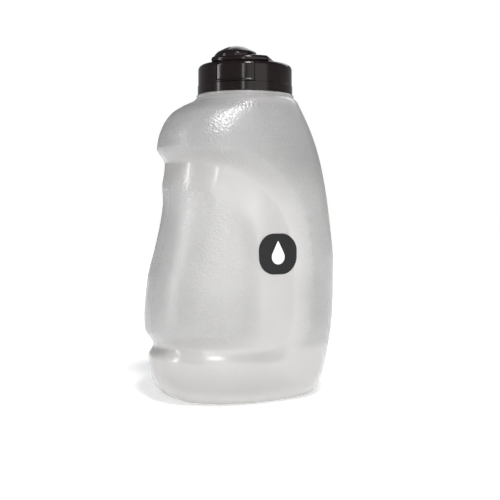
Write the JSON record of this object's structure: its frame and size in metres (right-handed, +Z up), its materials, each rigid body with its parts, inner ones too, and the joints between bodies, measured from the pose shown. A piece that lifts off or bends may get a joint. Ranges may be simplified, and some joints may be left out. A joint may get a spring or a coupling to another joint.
{
  "type": "water bottle",
  "caption": "Translucent pinch-grip bottle with a moulded finger recess, a threaded screw cap and a flip lid over a drinking spout.",
  "frame": {"origin": "centre of the footprint on the base plane", "axes": "+Z up along the neck, -X towards the grip end, -Y towards the badge face"},
  "size_m": [0.1426, 0.0988, 0.2518],
  "materials": {
    "frosted_plastic": "frosted, translucent",
    "black_plastic": "gloss",
    "silicone": "matte",
    "pin_steel": "satin",
    "badge_film": "satin",
    "print_ink": "matte"
  },
  "bodies": {
    "bottle": {"bottle_body": "frosted_plastic", "label_badge": "badge_film", "badge_print": "print_ink"},
    "gasket": {"cap_gasket": "silicone"},
    "cap": {"screw_cap": "black_plastic", "hinge_pin": "pin_steel"},
    "lid": {"flip_lid": "black_plastic", "spout_seal": "silicone", "vent_seal": "silicone"}
  },
  "joints": [
    {"name": "cap_lift", "type": "slide", "parent": "bottle", "child": "gasket", "axis": [0, 0, 1], "range_m": [0, 0.009]},
    {"name": "cap_turn", "type": "hinge", "parent": "gasket", "child": "cap", "pos_m": [0.0043, 0, 0.2183], "axis": [0, 0, 1], "range_deg": [0, 540]},
    {"name": "lid_flip", "type": "hinge", "parent": "cap", "child": "lid", "pos_m": [0.02036, 0.01784, 0.2434], "axis": [-0.7431, 0.6691, 0], "range_deg": [0, 165]}
  ],
  "couplings": [
    {"joint": "cap_lift", "follows": "cap_turn", "m_per_rad": 0.00095493}
  ]
}
